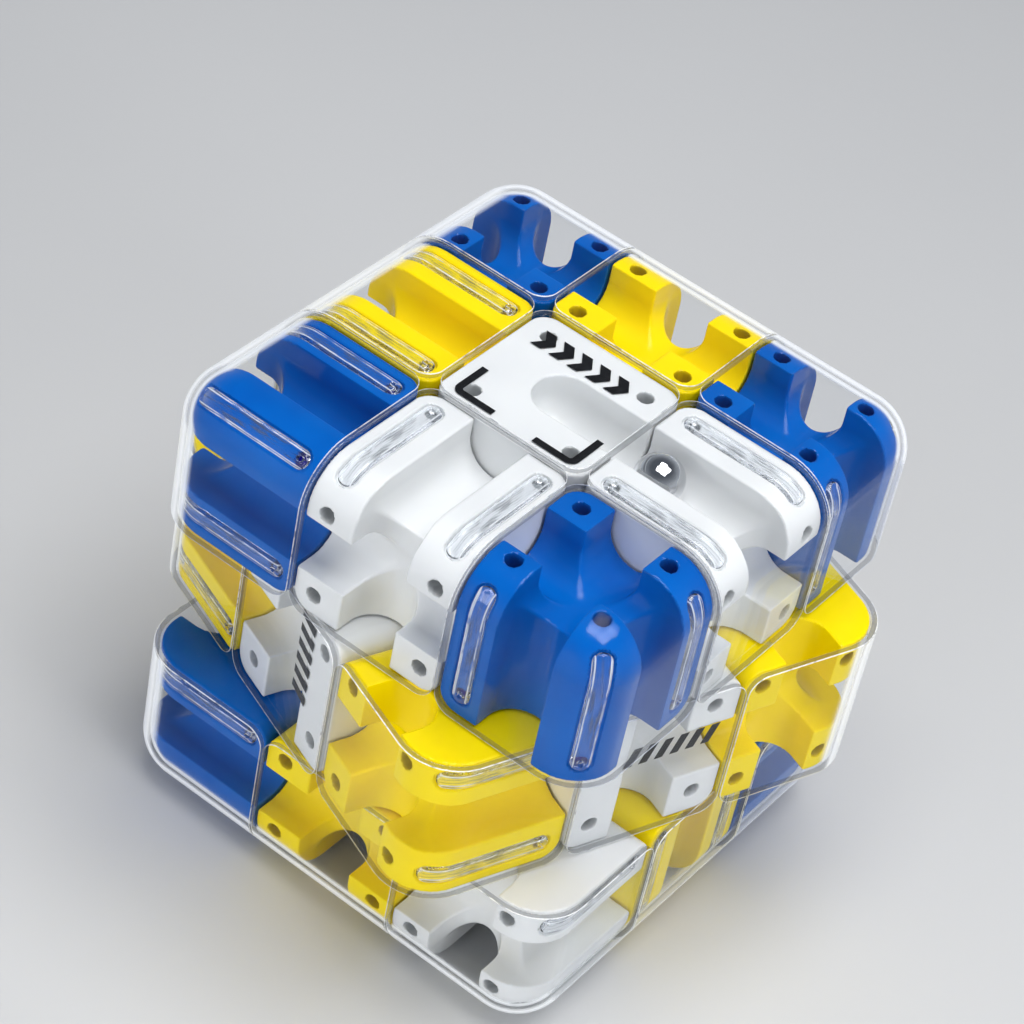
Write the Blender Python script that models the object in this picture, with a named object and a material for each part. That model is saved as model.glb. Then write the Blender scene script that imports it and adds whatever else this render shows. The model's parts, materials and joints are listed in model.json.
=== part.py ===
"""Three-by-three ball maze cube.

A hollow three-layer turning cube, 72 mm on a side.  Every small cube is an
opaque coloured track moulding (U shaped ball channels, posts with peg holes,
rails with long pockets) under its own thin clear cover.  The six centre
tracks carry stalks that turn in the arms of one hidden core.  The middle
layer stands part way round; one steel ball rides in the top layer.
"""
import bpy
import bmesh
import math
from mathutils import Matrix, Vector

MM = 0.001

# ---- driving dimensions, millimetres and degrees -------------------------
PITCH = 24.0            # side of one small cube
HALF = PITCH / 2
OUTER_R = 7.8           # rounding of the long outer edges
SEAM_R = 2.8            # rounding of the face corners at the seams
SEAM_GAP = 0.16         # each small cube stops this far from the seam plane
COVER_T = 0.8           # clear cover wall
TRACK_DROP = 1.15       # track face below the outside of the cover
CHANNEL_W = 4.3         # half width of a ball channel, also its floor radius
CHANNEL_FLOOR = 3.85    # channel floor above the middle plane of a small cube
CHANNEL_OFF = 1.3       # channels beside an outer edge lie this far inwards
PEG_IN = 8.7            # peg holes: distance on the inner side
PEG_OUT = 4.9           # peg holes: distance on the rounded side
PEG_CENTRE = 8.0        # peg holes of the face centres
PEG_R = 1.15
PEG_DEPTH = 3.6
POCKET_W = 1.6          # half width of a rail pocket
POCKET_DEPTH = 0.8
POCKET_END = 10.2
POCKET_TURN = 52.0      # how far round the outer edge a pocket runs
START_END = 0.8         # centre of the round end of the start channel
MIDDLE_TURN = -21.2     # middle layer against the other two
BALL_R = 3.5
BALL_X = 16.8           # ball along the start channel, from the cube axis
BALL_FLOAT = 0.15
CORE_HALF = 6.0
ARM_R = 4.6
ARM_END = 11.6
STALK_R = 2.2
BORE_R = 2.6
STALK_IN = 5.0          # length of a stalk below its track
BORE_DEPTH = 5.6
ARC = 4                 # steps in a quarter of an outer edge
ARC_U = 6               # steps in a half-round channel floor

CENTRE_Z = 1.5 * PITCH
TRACK = HALF - TRACK_DROP
SEAM = HALF - SEAM_GAP
FILLET = HALF - OUTER_R  # centre of the outer rounding


def wipe():
    for obj in list(bpy.data.objects):
        bpy.data.objects.remove(obj, do_unlink=True)


def material(name, colour, rough, metal=0.0, alpha=1.0, trans=0.0):
    mat = bpy.data.materials.new(name)
    mat.use_nodes = True
    bsdf = mat.node_tree.nodes["Principled BSDF"]
    bsdf.inputs["Base Color"].default_value = (*colour, 1.0)
    bsdf.inputs["Roughness"].default_value = rough
    bsdf.inputs["Metallic"].default_value = metal
    bsdf.inputs["Alpha"].default_value = alpha
    bsdf.inputs["Transmission Weight"].default_value = trans
    mat.diffuse_color = (*colour, alpha)
    mat.roughness = rough
    mat.metallic = metal
    return mat


def temp(name, bm):
    """Scratch object from a bmesh given in millimetres."""
    bmesh.ops.recalc_face_normals(bm, faces=bm.faces)
    mesh = bpy.data.meshes.new(name)
    bm.to_mesh(mesh)
    bm.free()
    obj = bpy.data.objects.new(name, mesh)
    bpy.context.scene.collection.objects.link(obj)
    return obj


def envelope(outer, drop, outer_r, seam, seam_r):
    """Small-cube block: `outer` directions lie `drop` inside the cube face,
    the edges between them are rounded, and so are the seam corners."""
    bm = bmesh.new()
    bmesh.ops.create_cube(bm, size=2.0)
    for vert in bm.verts:
        for axis in range(3):
            step = Vector((0, 0, 0))
            step[axis] = 1 if vert.co[axis] > 0 else -1
            reach = HALF - drop if tuple(int(v) for v in step) in outer else seam
            vert.co[axis] = step[axis] * reach

    def is_outer(face):
        key = tuple(int(round(v)) for v in face.normal)
        return key in outer

    bm.normal_update()
    rounds = [e for e in bm.edges if all(is_outer(f) for f in e.link_faces)]
    if rounds and outer_r > 0:
        bmesh.ops.bevel(bm, geom=rounds, offset=outer_r, segments=ARC, profile=0.5,
                        affect="EDGES", clamp_overlap=False)
    if seam_r > 0:
        bm.normal_update()
        corners = []
        for edge in bm.edges:
            faces = edge.link_faces
            if len(faces) != 2 or any(is_outer(f) for f in faces):
                continue
            normals = [f.normal for f in faces]
            if any(max(abs(v) for v in n) < 0.999 for n in normals):
                continue
            if abs(normals[0].dot(normals[1])) > 0.1:
                continue
            across = normals[0].cross(normals[1])
            along = tuple(int(round(v)) for v in across)
            back = tuple(-v for v in along)
            if along in outer or back in outer:
                corners.append(edge)
        bmesh.ops.bevel(bm, geom=corners, offset=seam_r, segments=3, profile=0.5,
                        affect="EDGES", clamp_overlap=False)
    return temp("envelope", bm)


def prism(points, depth_lo, depth_hi, frame):
    """Extrude a polygon given in (u, v) along w; `frame` maps (u, v, w)."""
    bm = bmesh.new()
    low = [bm.verts.new(frame @ Vector((u, v, depth_lo))) for u, v in points]
    high = [bm.verts.new(frame @ Vector((u, v, depth_hi))) for u, v in points]
    bm.faces.new(low[::-1])
    bm.faces.new(high)
    count = len(points)
    for i in range(count):
        j = (i + 1) % count
        bm.faces.new((low[i], low[j], high[j], high[i]))
    return temp("prism", bm)


def axes(u, v, w, origin=(0, 0, 0)):
    mat = Matrix((u, v, w)).transposed().to_4x4()
    mat.translation = Vector(origin)
    return mat


def u_profile(offset):
    """U shaped section: u across the channel, v along the face normal."""
    points = [(offset - CHANNEL_W, HALF + 2)]
    for i in range(ARC_U + 1):
        turn = math.pi * i / ARC_U
        across = offset - CHANNEL_W * math.cos(turn)
        height = CHANNEL_FLOOR + CHANNEL_W * (1 - math.sin(turn))
        points.append((across, height))
    points.append((offset + CHANNEL_W, HALF + 2))
    return points


def channel(across, normal, offset, lo=-HALF - 1, hi=HALF + 1):
    along = Vector(across).cross(Vector(normal))
    frame = axes(Vector(across), Vector(normal), along)
    return prism(u_profile(offset), lo, hi, frame)


def round_hole(centre, normal, radius, depth, sides=6):
    side = Vector((0, 0, 1)) if abs(normal[2]) < 0.9 else Vector((1, 0, 0))
    across = side.cross(Vector(normal)).normalized()
    other = Vector(normal).cross(across)
    frame = axes(across, other, Vector(normal), centre)
    ring = []
    for i in range(sides):
        turn = 2 * math.pi * (i + 0.5) / sides
        ring.append((radius * math.cos(turn), radius * math.sin(turn)))
    return prism(ring, -depth, 3.0, frame)


def pocket(origin, wrap_dir, face_dir, steps=3):
    """Long shallow pocket in the face looking along `face_dir`.  It runs from
    the seam end and follows the outer rounding over towards `wrap_dir`."""
    inner = HALF - FILLET - TRACK_DROP - POCKET_DEPTH
    reach = inner + 6
    last = math.radians(POCKET_TURN)
    points = [(-POCKET_END, FILLET + inner)]
    for i in range(steps + 1):
        turn = last * i / steps
        points.append((FILLET + inner * math.sin(turn), FILLET + inner * math.cos(turn)))
    points.append((FILLET + reach * math.sin(last), FILLET + reach * math.cos(last)))
    points.append((FILLET, FILLET + reach))
    points.append((-POCKET_END, FILLET + reach))
    side = Vector(wrap_dir).cross(Vector(face_dir))
    frame = axes(Vector(wrap_dir), Vector(face_dir), side, origin)
    return prism(points, -POCKET_W, POCKET_W, frame)


def carve(base, cutters, joiners=()):
    for extra in joiners:
        mod = base.modifiers.new("add", "BOOLEAN")
        mod.operation = "UNION"
        mod.solver = "EXACT"
        mod.object = extra
    for cutter in cutters:
        mod = base.modifiers.new("cut", "BOOLEAN")
        mod.operation = "DIFFERENCE"
        mod.solver = "EXACT"
        mod.object = cutter
    bpy.context.view_layer.update()
    graph = bpy.context.evaluated_depsgraph_get()
    mesh = bpy.data.meshes.new_from_object(base.evaluated_get(graph))
    for obj in [base, *cutters, *joiners]:
        bpy.data.objects.remove(obj, do_unlink=True)
    bm = bmesh.new()
    bm.from_mesh(mesh)
    bmesh.ops.remove_doubles(bm, verts=bm.verts, dist=0.00005)
    bmesh.ops.dissolve_limit(bm, angle_limit=0.002, verts=bm.verts, edges=bm.edges)
    bmesh.ops.triangulate(bm, faces=bm.faces)
    bmesh.ops.scale(bm, vec=(MM, MM, MM), verts=bm.verts)
    bmesh.ops.recalc_face_normals(bm, faces=bm.faces)
    bm.to_mesh(mesh)
    bm.free()
    mesh.materials.clear()
    return mesh


X, Y, Z = (1, 0, 0), (0, 1, 0), (0, 0, 1)
NX, NY, NZ = (-1, 0, 0), (0, -1, 0), (0, 0, -1)
CORNER_OUT = {X, NY, Z}
EDGE_OUT = {NY, Z}
CENTRE_OUT = {Z}


def track_block(outer):
    return envelope(outer, TRACK_DROP, OUTER_R - TRACK_DROP, SEAM, SEAM_R)


def corner_track():
    """Crossing channels on +Z, one channel down +X and one down -Y."""
    cutters = [
        channel(Y, Z, CHANNEL_OFF),
        channel(X, Z, -CHANNEL_OFF),
        channel(Y, X, CHANNEL_OFF),
        channel(X, NY, -CHANNEL_OFF),
    ]
    for px in (-PEG_IN, PEG_OUT):
        for py in (PEG_IN, -PEG_OUT):
            cutters.append(round_hole((px, py, TRACK), Z, PEG_R, PEG_DEPTH))
    slant = Vector((1, -1, 0)).normalized()
    lean = Vector((FILLET, -FILLET, 0)) - slant * FILLET
    rails = (
        ((-PEG_IN, 0, 0), Vector(NY)),
        ((0, PEG_IN, 0), Vector(X)),
        (tuple(lean), slant),
    )
    for origin, out in rails:
        cutters.append(pocket(origin, Z, out))
    return carve(track_block(CORNER_OUT), cutters)


def edge_track():
    """Crossing channels on -Y, one channel between two rails on +Z."""
    cutters = [
        channel(X, Z, 0.0),
        channel(X, NY, 0.0),
        channel(Z, NY, -CHANNEL_OFF),
    ]
    for px in (-PEG_IN, PEG_IN):
        for pz in (-PEG_IN, PEG_OUT):
            cutters.append(round_hole((px, -TRACK, pz), NY, PEG_R, PEG_DEPTH))
        cutters.append(pocket((px, 0, 0), NY, Z))
    return carve(track_block(EDGE_OUT), cutters)


def stalk():
    ring = []
    for i in range(12):
        turn = 2 * math.pi * i / 12
        ring.append((STALK_R * math.cos(turn), STALK_R * math.sin(turn)))
    return prism(ring, -HALF - STALK_IN, -HALF + 2, Matrix.Identity(4))


def pegs_four():
    return [round_hole((px, py, TRACK), Z, PEG_R, PEG_DEPTH)
            for px in (-PEG_CENTRE, PEG_CENTRE) for py in (-PEG_CENTRE, PEG_CENTRE)]


def cross_track():
    """Face centre: two crossing channels and four posts, stalk below."""
    cutters = [channel(Y, Z, 0.0), channel(X, Z, 0.0)]
    return carve(track_block(CENTRE_OUT), cutters + pegs_four(), [stalk()])


def tee_track():
    """Face centre with a through channel along X and one way out towards +Y."""
    cutters = [channel(Y, Z, 0.0), channel(X, Z, 0.0, -HALF - 1, 0.0)]
    return carve(track_block(CENTRE_OUT), cutters + pegs_four(), [stalk()])


def start_track():
    """Face centre with the start channel: round end, open towards +X."""
    run = channel(Y, Z, 0.0, START_END, HALF + 1)
    bm = bmesh.new()
    rings = []
    sides = 12
    levels = [(CHANNEL_W, HALF + 2)]
    for i in range(4):
        turn = math.pi / 2 * i / 3.5
        height = CHANNEL_FLOOR + CHANNEL_W * (1 - math.sin(turn))
        levels.append((CHANNEL_W * math.cos(turn), height))
    for radius, height in levels:
        ring = []
        for i in range(sides):
            turn = 2 * math.pi * i / sides
            spot = (START_END + radius * math.cos(turn), radius * math.sin(turn), height)
            ring.append(bm.verts.new(spot))
        rings.append(ring)
    bm.faces.new(rings[0])
    bm.faces.new(rings[-1][::-1])
    for upper, lower in zip(rings, rings[1:]):
        for i in range(sides):
            j = (i + 1) % sides
            bm.faces.new((upper[i], upper[j], lower[j], lower[i]))
    end = temp("end", bm)
    return carve(track_block(CENTRE_OUT), [run, end] + pegs_four(), [stalk()])


def cover(outer):
    """Clear skin over the outer faces of one small cube."""
    shell = envelope(outer, 0.0, OUTER_R, SEAM, SEAM_R)
    inside = envelope(outer, COVER_T, OUTER_R - COVER_T, HALF + 3, 0.0)
    return carve(shell, [inside])


def core_mesh():
    """Six arms on a small block, each bored for a centre stalk."""
    bm = bmesh.new()
    bmesh.ops.create_cube(bm, size=2 * CORE_HALF)
    base = temp("core", bm)
    arms = []
    bores = []
    for normal in (X, NX, Y, NY, Z, NZ):
        side = Vector(Z) if normal[2] == 0 else Vector(X)
        across = side.cross(Vector(normal))
        frame = axes(across, Vector(normal).cross(across), Vector(normal))
        ring = []
        hole = []
        for i in range(12):
            turn = 2 * math.pi * i / 12
            ring.append((ARM_R * math.cos(turn), ARM_R * math.sin(turn)))
            hole.append((BORE_R * math.cos(turn), BORE_R * math.sin(turn)))
        arms.append(prism(ring, CORE_HALF - 2, ARM_END, frame))
        bores.append(prism(hole, ARM_END - BORE_DEPTH, ARM_END + 2, frame))
    return carve(base, bores, arms)


def ball_mesh():
    bm = bmesh.new()
    bmesh.ops.create_icosphere(bm, subdivisions=3, radius=BALL_R * MM)
    mesh = bpy.data.meshes.new("steel_ball")
    bm.to_mesh(mesh)
    bm.free()
    return mesh


WORLD = {}


def place(name, mesh, mat, world, parent=None, smooth=False):
    """Link one named piece; `world` is its full placement."""
    own = mesh.copy()
    own.name = name
    own.materials.append(mat)
    for poly in own.polygons:
        poly.use_smooth = smooth
    obj = bpy.data.objects.new(name, own)
    bpy.context.scene.collection.objects.link(obj)
    if parent is None:
        obj.matrix_world = world
    else:
        obj.parent = parent
        local = WORLD[parent.name].inverted() @ world
        obj.matrix_basis = local
    WORLD[name] = world
    return obj


def turn_from(col_x, col_y, col_z):
    rot = Matrix((col_x, col_y, col_z)).transposed()
    return rot


def corner_turn(outs, cross):
    """Rotation taking the corner drawn with +Z crossing to this corner."""
    rest = [Vector(d) for d in outs if d != cross]
    up = Vector(cross)
    for first, second in ((rest[0], rest[1]), (rest[1], rest[0])):
        rot = turn_from(first, -second, up)
        if rot.determinant() > 0:
            return rot
    return rot


def edge_turn(cross, rail):
    front = -Vector(cross)
    up = Vector(rail)
    return turn_from(front.cross(up), front, up)


def centre_turn(normal, run=None):
    up = Vector(normal)
    if run is None:
        run = Z if normal[2] == 0 else X
    first = Vector(run)
    return turn_from(first, up.cross(first), up)


BLUE = "blue"
YELLOW = "yellow"
WHITE = "white"

# name, grid place, colour, direction of the crossing face
TOP = (
    ("corner_front", (1, -1, 1), BLUE, Z),
    ("corner_left", (-1, -1, 1), BLUE, NX),
    ("corner_right", (1, 1, 1), BLUE, Z),
    ("corner_back", (-1, 1, 1), BLUE, Z),
    ("edge_front_left", (0, -1, 1), WHITE, NY),
    ("edge_front_right", (1, 0, 1), WHITE, X),
    ("edge_back_left", (-1, 0, 1), YELLOW, NX),
    ("edge_back_right", (0, 1, 1), YELLOW, Z),
)
MIDDLE = (
    ("edge_front", (1, -1, 0), YELLOW, NY),
    ("edge_right", (1, 1, 0), YELLOW, X),
    ("edge_left", (-1, -1, 0), YELLOW, NX),
    ("edge_back", (-1, 1, 0), YELLOW, Y),
)
BOTTOM = (
    ("corner_front", (1, -1, -1), WHITE, NY),
    ("corner_left", (-1, -1, -1), BLUE, NX),
    ("corner_right", (1, 1, -1), BLUE, Y),
    ("corner_back", (-1, 1, -1), BLUE, NZ),
    ("edge_front_left", (0, -1, -1), YELLOW, NY),
    ("edge_front_right", (1, 0, -1), YELLOW, NZ),
    ("edge_back_left", (-1, 0, -1), YELLOW, NX),
    ("edge_back_right", (0, 1, -1), WHITE, NZ),
)


def outs_of(spot):
    outs = []
    for axis in range(3):
        if spot[axis]:
            step = [0, 0, 0]
            step[axis] = spot[axis]
            outs.append(tuple(step))
    return outs


def world_of(spot, rot, yaw):
    move = Matrix.Translation(Vector(spot) * PITCH * MM)
    swing = Matrix.Rotation(math.radians(yaw), 4, "Z")
    lift = Matrix.Translation(Vector((0, 0, CENTRE_Z * MM)))
    return lift @ swing @ move @ rot.to_4x4()


def build():
    wipe()
    mats = {
        BLUE: material("blue_plastic", (0.0, 0.055, 0.42), 0.22),
        YELLOW: material("yellow_plastic", (0.95, 0.66, 0.0), 0.25),
        WHITE: material("white_plastic", (0.86, 0.87, 0.86), 0.22),
    }
    clear = material("clear_plastic", (0.92, 0.95, 0.97), 0.05, 0.0, 0.25, 0.8)
    grey = material("core_plastic", (0.35, 0.36, 0.38), 0.45)
    steel = material("polished_steel", (0.78, 0.79, 0.80), 0.08, 1.0)

    corner = corner_track()
    edge = edge_track()
    cross = cross_track()
    tee = tee_track()
    start = start_track()
    cover_corner = cover(CORNER_OUT)
    cover_edge = cover(EDGE_OUT)
    cover_centre = cover(CENTRE_OUT)

    core_world = world_of((0, 0, 0), Matrix.Identity(3), MIDDLE_TURN)
    core = place("core", core_mesh(), grey, core_world)

    def small_cube(layer, entry, yaw, parent):
        name, spot, colour, way = entry
        outs = outs_of(spot)
        if len(outs) == 3:
            rot = corner_turn(outs, way)
            meshes = (corner, cover_corner)
        else:
            rail = [d for d in outs if d != way][0]
            rot = edge_turn(way, rail)
            meshes = (edge, cover_edge)
        full = f"{layer}_{name}"
        world = world_of(spot, rot, yaw)
        piece = place(full + "_track", meshes[0], mats[colour], world, parent)
        place(full + "_cover", meshes[1], clear, world, piece)

    def face_centre(full, spot, mesh, yaw, run=None):
        world = world_of(spot, centre_turn(spot, run), yaw)
        piece = place(full + "_track", mesh, mats[WHITE], world, core)
        place(full + "_cover", cover_centre, clear, world, piece)
        return piece

    top = face_centre("top_centre", Z, start, 0.0)
    bottom = face_centre("bottom_centre", NZ, cross, 0.0)
    face_centre("middle_centre_front_left", NY, tee, MIDDLE_TURN, Z)
    face_centre("middle_centre_front_right", X, tee, MIDDLE_TURN, NZ)
    face_centre("middle_centre_back_left", NX, cross, MIDDLE_TURN)
    face_centre("middle_centre_back_right", Y, cross, MIDDLE_TURN)
    for entry in TOP:
        small_cube("top", entry, 0.0, top)
    for entry in MIDDLE:
        small_cube("middle", entry, MIDDLE_TURN, core)
    for entry in BOTTOM:
        small_cube("bottom", entry, 0.0, bottom)

    height = CENTRE_Z + PITCH + CHANNEL_FLOOR + BALL_R + BALL_FLOAT
    spot = Matrix.Translation(Vector((BALL_X, 0, height)) * MM)
    place("steel_ball", ball_mesh(), steel, spot, top, smooth=True)


build()
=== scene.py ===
"""Looks of the ball maze cube: fine mouldings, clear covers, ball, prints, light and camera.

Each small cube is drawn once per kind as a rounded solid described by distances (millimetres,
its own frame: the middle of the small cube is the origin), meshed finely, and set in its place.
"""
import json
import math

import bmesh
import bpy
import numpy as np
from mathutils import Matrix, Vector


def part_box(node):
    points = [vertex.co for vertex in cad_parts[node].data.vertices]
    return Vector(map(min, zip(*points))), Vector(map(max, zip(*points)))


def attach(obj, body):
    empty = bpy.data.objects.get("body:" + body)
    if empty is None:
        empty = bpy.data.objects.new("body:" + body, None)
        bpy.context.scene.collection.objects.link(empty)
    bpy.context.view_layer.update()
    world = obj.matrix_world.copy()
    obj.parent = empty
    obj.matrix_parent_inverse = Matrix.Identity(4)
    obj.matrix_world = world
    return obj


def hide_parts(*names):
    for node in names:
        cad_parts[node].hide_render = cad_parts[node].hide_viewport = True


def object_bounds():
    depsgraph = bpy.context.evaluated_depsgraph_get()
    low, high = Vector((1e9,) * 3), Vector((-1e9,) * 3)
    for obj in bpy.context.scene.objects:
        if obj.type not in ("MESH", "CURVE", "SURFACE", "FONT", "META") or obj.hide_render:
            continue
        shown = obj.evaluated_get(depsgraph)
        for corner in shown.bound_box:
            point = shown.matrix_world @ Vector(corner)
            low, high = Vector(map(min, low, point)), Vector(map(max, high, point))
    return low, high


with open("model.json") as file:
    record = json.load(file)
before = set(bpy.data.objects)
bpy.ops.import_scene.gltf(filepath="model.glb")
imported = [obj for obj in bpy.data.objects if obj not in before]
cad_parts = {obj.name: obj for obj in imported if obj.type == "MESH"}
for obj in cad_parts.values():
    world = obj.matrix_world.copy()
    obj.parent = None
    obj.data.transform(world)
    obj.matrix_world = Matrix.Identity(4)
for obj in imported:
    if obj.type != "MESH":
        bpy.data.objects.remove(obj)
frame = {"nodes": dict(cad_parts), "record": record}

CAD_BOX = [list(corner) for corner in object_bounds()]

# ---- sizes read from the frame --------------------------------------------------------------
MM = 0.001
LOW, HIGH = (Vector(corner) for corner in CAD_BOX)
SIDE = HIGH.z - LOW.z                       # the cube's side
PITCH = SIDE / 3                            # one small cube
MID_Z = (HIGH.z + LOW.z) / 2
HALF = PITCH / MM / 2                       # half a small cube, mm


def centre_of(node):
    low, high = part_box(node)
    return (low + high) / 2


def middle_turn():
    """Angle of the middle layer against the outer two, from its front-right cover."""
    spot = centre_of("middle_centre_front_right_cover")
    return math.atan2(spot.y, spot.x)


MIDDLE_TURN = middle_turn()
TRACK = (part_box("top_centre_track")[1].z - (HIGH.z - PITCH / 2)) / MM    # track face above the middle
SEAM = (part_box("top_centre_track")[1].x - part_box("top_centre_track")[0].x) / MM / 2
BALL_LOW, BALL_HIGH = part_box("steel_ball")
BALL_R = (BALL_HIGH.z - BALL_LOW.z) / 2 / MM

# ---- sizes of the mouldings, mm, as designed -------------------------------------------------
OUTER_R = 7.8           # rounding of the cube's edges, on the covers
BEND_R = OUTER_R - (HALF - TRACK)           # the same on the tracks
FILLET = HALF - OUTER_R
SEAM_R = 2.8            # rounding of a face's corners at the seams
EDGE_R = 0.28           # rounding of moulded edges

CHANNEL_W = 4.3         # radius of a channel
CHANNEL_FLOOR = 3.85    # its floor above the small cube's middle
CHANNEL_OFF = 1.3       # sideways shift of the channels on corners and edges
START_END = 0.8         # where the start tile's channel ends

PEG_IN = 8.7            # peg holes from the middle, on the side away from the outer edge
PEG_OUT = 4.9           # and on the side of the outer edge
PEG_CENTRE = 8.0        # and on face centres
PEG_R = 1.15
PEG_DEPTH = 4.0
PEG_EDGE = 0.15         # rounding of a peg hole's mouth

POCKET_W = 1.6          # half the width of a rail's pocket
POCKET_DEPTH = 0.8
POCKET_END = 10.2
POCKET_TURN = math.radians(46)              # how far a pocket runs round the bend
POCKET_EDGE = 0.2
SCREW_R = 0.85
SCREW_IN = POCKET_END - POCKET_W
SCREW_DEPTH = 1.6
SCREW_EDGE = 0.12
STALK_R = 2.2           # stalk of a face centre
STALK_IN = 5.0

COVER_WALL = 0.92       # the clear wall, leaving the ball just clear of it
COVER_EDGE = 0.18
RIB_GAP = 0.2           # clear rib inside its pocket
RIB_UNDER = 0.04        # gap under a rib
RIB_OVER = 0.02         # gap between a rib and the wall above
RIB_DOME = 0.7          # rounding along a rib's top
RIB_HOLE = 0.42
RIB_HOLE_DEPTH = 3.0
RIB_HOLE_EDGE = 0.1

# ---- marks on the mouldings that the materials read ------------------------------------------
HOLE_REACH = 0.1        # a spot this near a hole counts as in it
HOLE_SHADE_FADE = 0.7          # painted shade in the holes is darkest this far down
PEG_SHADE = 0.5
BEND_FULL = 0.05        # share of an outer face's normal that is off its axis, for a full bend
RIM_LINE = 0.13         # painted highlight line along a cut rim, on the outer face
RIM_FADE = 0.22         # how far it runs down the cut
RIM_SHARP = 0.6         # share of both at full strength
RIB_LINE = 1.0          # painted highlight lines this far either side of a rib's middle

# ---- meshing ---------------------------------------------------------------------------------
TRACK_STEP, TRACK_KEEP = 0.30, 0.16         # mesh step, mm, and share of the faces kept
COVER_STEP, COVER_KEEP = 0.25, 0.11
RIB_STEP, RIB_KEEP = 0.2, 0.3
MARGIN = 1.5            # steps of room round a meshed solid
BATCHES = 40
CREASE = math.cos(math.radians(26))         # a bend sharper than this keeps its crease
AWAY = 1e3              # a distance that never counts
OFF_RAIL = 5.0
BALL_ROUNDS = 5         # subdivisions of the ball
PRINT = 0.03            # thickness of the printed marks

X, Y, Z = (np.array(v, float) for v in ((1, 0, 0), (0, 1, 0), (0, 0, 1)))


# ---- distance tools --------------------------------------------------------------------------
def dot(p, v):
    return p @ v


def both(a, b, r=EDGE_R):
    """Overlap of two solids, its edge rounded to r."""
    corner = np.hypot(np.maximum(a + r, 0), np.maximum(b + r, 0))
    return np.minimum(-r, np.maximum(a, b)) + corner


def without(a, b, r=EDGE_R):
    return both(a, -b, r)


def hypot3(a, b, c):
    return np.sqrt(a * a + b * b + c * c)


def outer_skin(p, outs, drop):
    """Distance to the rounded outer faces, `drop` inside the small cube's faces."""
    radius = OUTER_R - drop
    q = [dot(p, n) - (HALF - drop) + radius for n in outs]
    while len(q) < 3:
        q.append(np.full(len(p), -AWAY))
    inside = np.minimum(np.maximum(np.maximum(q[0], q[1]), q[2]), 0)
    return hypot3(*(np.maximum(v, 0) for v in q)) - radius + inside


def seam_sides(p, outs, reach):
    """Distance to the flat seam sides, rounded where they meet an outer face's corner."""
    dist = np.full(len(p), -AWAY)
    pairs = []
    for normal in outs:
        axis = int(np.argmax(np.abs(normal)))
        pairs.append([k for k in range(3) if k != axis])
    sides = {}
    for axis in range(3):
        faces = []
        for sign in (1, -1):
            way = np.zeros(3)
            way[axis] = sign
            if not any(np.allclose(way, n) for n in outs):
                faces.append(sign * p[:, axis] - reach)
        sides[axis] = faces
    for a, b in pairs:
        for side_a in sides[a]:
            for side_b in sides[b]:
                dist = np.maximum(dist, both(side_a, side_b, SEAM_R))
    for axis in range(3):
        for side in sides[axis]:
            dist = np.maximum(dist, side)
    return dist


def channel(p, across, normal, offset, start=None, along=None):
    """Half-round channel; `start` ends it in a round end, open towards `along`."""
    u = dot(p, across) - offset
    v = np.minimum(dot(p, normal) - CHANNEL_FLOOR - CHANNEL_W, 0)
    if along is None:
        return np.hypot(u, v) - CHANNEL_W
    w = np.minimum(dot(p, along) - start, 0)
    return hypot3(u, v, w) - CHANNEL_W


def peg_hole(p, spot, normal, radius=PEG_R, depth=PEG_DEPTH):
    rel = p - np.array(spot)
    along = dot(rel, normal)
    side = np.sqrt(np.maximum((rel * rel).sum(1) - along * along, 0)) - radius
    return np.maximum(side, -along - depth)


def rail_place(p, origin, wrap, face):
    """Places along, across and out from a rail that follows the outer rounding."""
    rel = p - np.array(origin)
    u, v = dot(rel, wrap), dot(rel, face)
    turn = np.arctan2(np.maximum(u - FILLET, 0), np.maximum(v - FILLET, 1e-6))
    s = np.where(u < FILLET, u, FILLET + BEND_R * turn)
    return s, dot(rel, np.cross(wrap, face)), v


def pill(p, origin, wrap, face, half_width):
    """Footprint of a pocket: a long round-ended strip along a rail."""
    s, side, out = rail_place(p, origin, wrap, face)
    low, high = -POCKET_END + POCKET_W, FILLET + BEND_R * POCKET_TURN - POCKET_W
    mid, half = (low + high) / 2, (high - low) / 2
    strip = np.hypot(np.maximum(np.abs(s - mid) - half, 0), side) - half_width
    return np.where(out > 0, strip, OFF_RAIL)


def pocket(p, skin, rail):
    return np.maximum(pill(p, *rail, POCKET_W), -(skin + POCKET_DEPTH))


def rib(p, skin, rail):
    """Clear rib of the cover lying in a pocket, domed, with a pin hole at its inner end."""
    strip = pill(p, *rail, POCKET_W - RIB_GAP)
    room = HALF - COVER_WALL - TRACK
    slab = np.maximum(-(skin + POCKET_DEPTH - RIB_UNDER), skin - room + RIB_OVER)
    hole = peg_hole(p, screw_spot(rail), rail[2], RIB_HOLE, RIB_HOLE_DEPTH)
    return without(both(strip, slab, RIB_DOME), hole, RIB_HOLE_EDGE)


def screw_spot(rail):
    """Middle of a pocket's inner round end, on the track face."""
    origin, wrap, face = rail
    return origin + face * TRACK - wrap * SCREW_IN


# ---- the mouldings, as distances -------------------------------------------------------------
CORNER_OUT = (X, -Y, Z)
EDGE_OUT = (-Y, Z)
CENTRE_OUT = (Z,)
SLANT = (X - Y) / math.sqrt(2)

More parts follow.
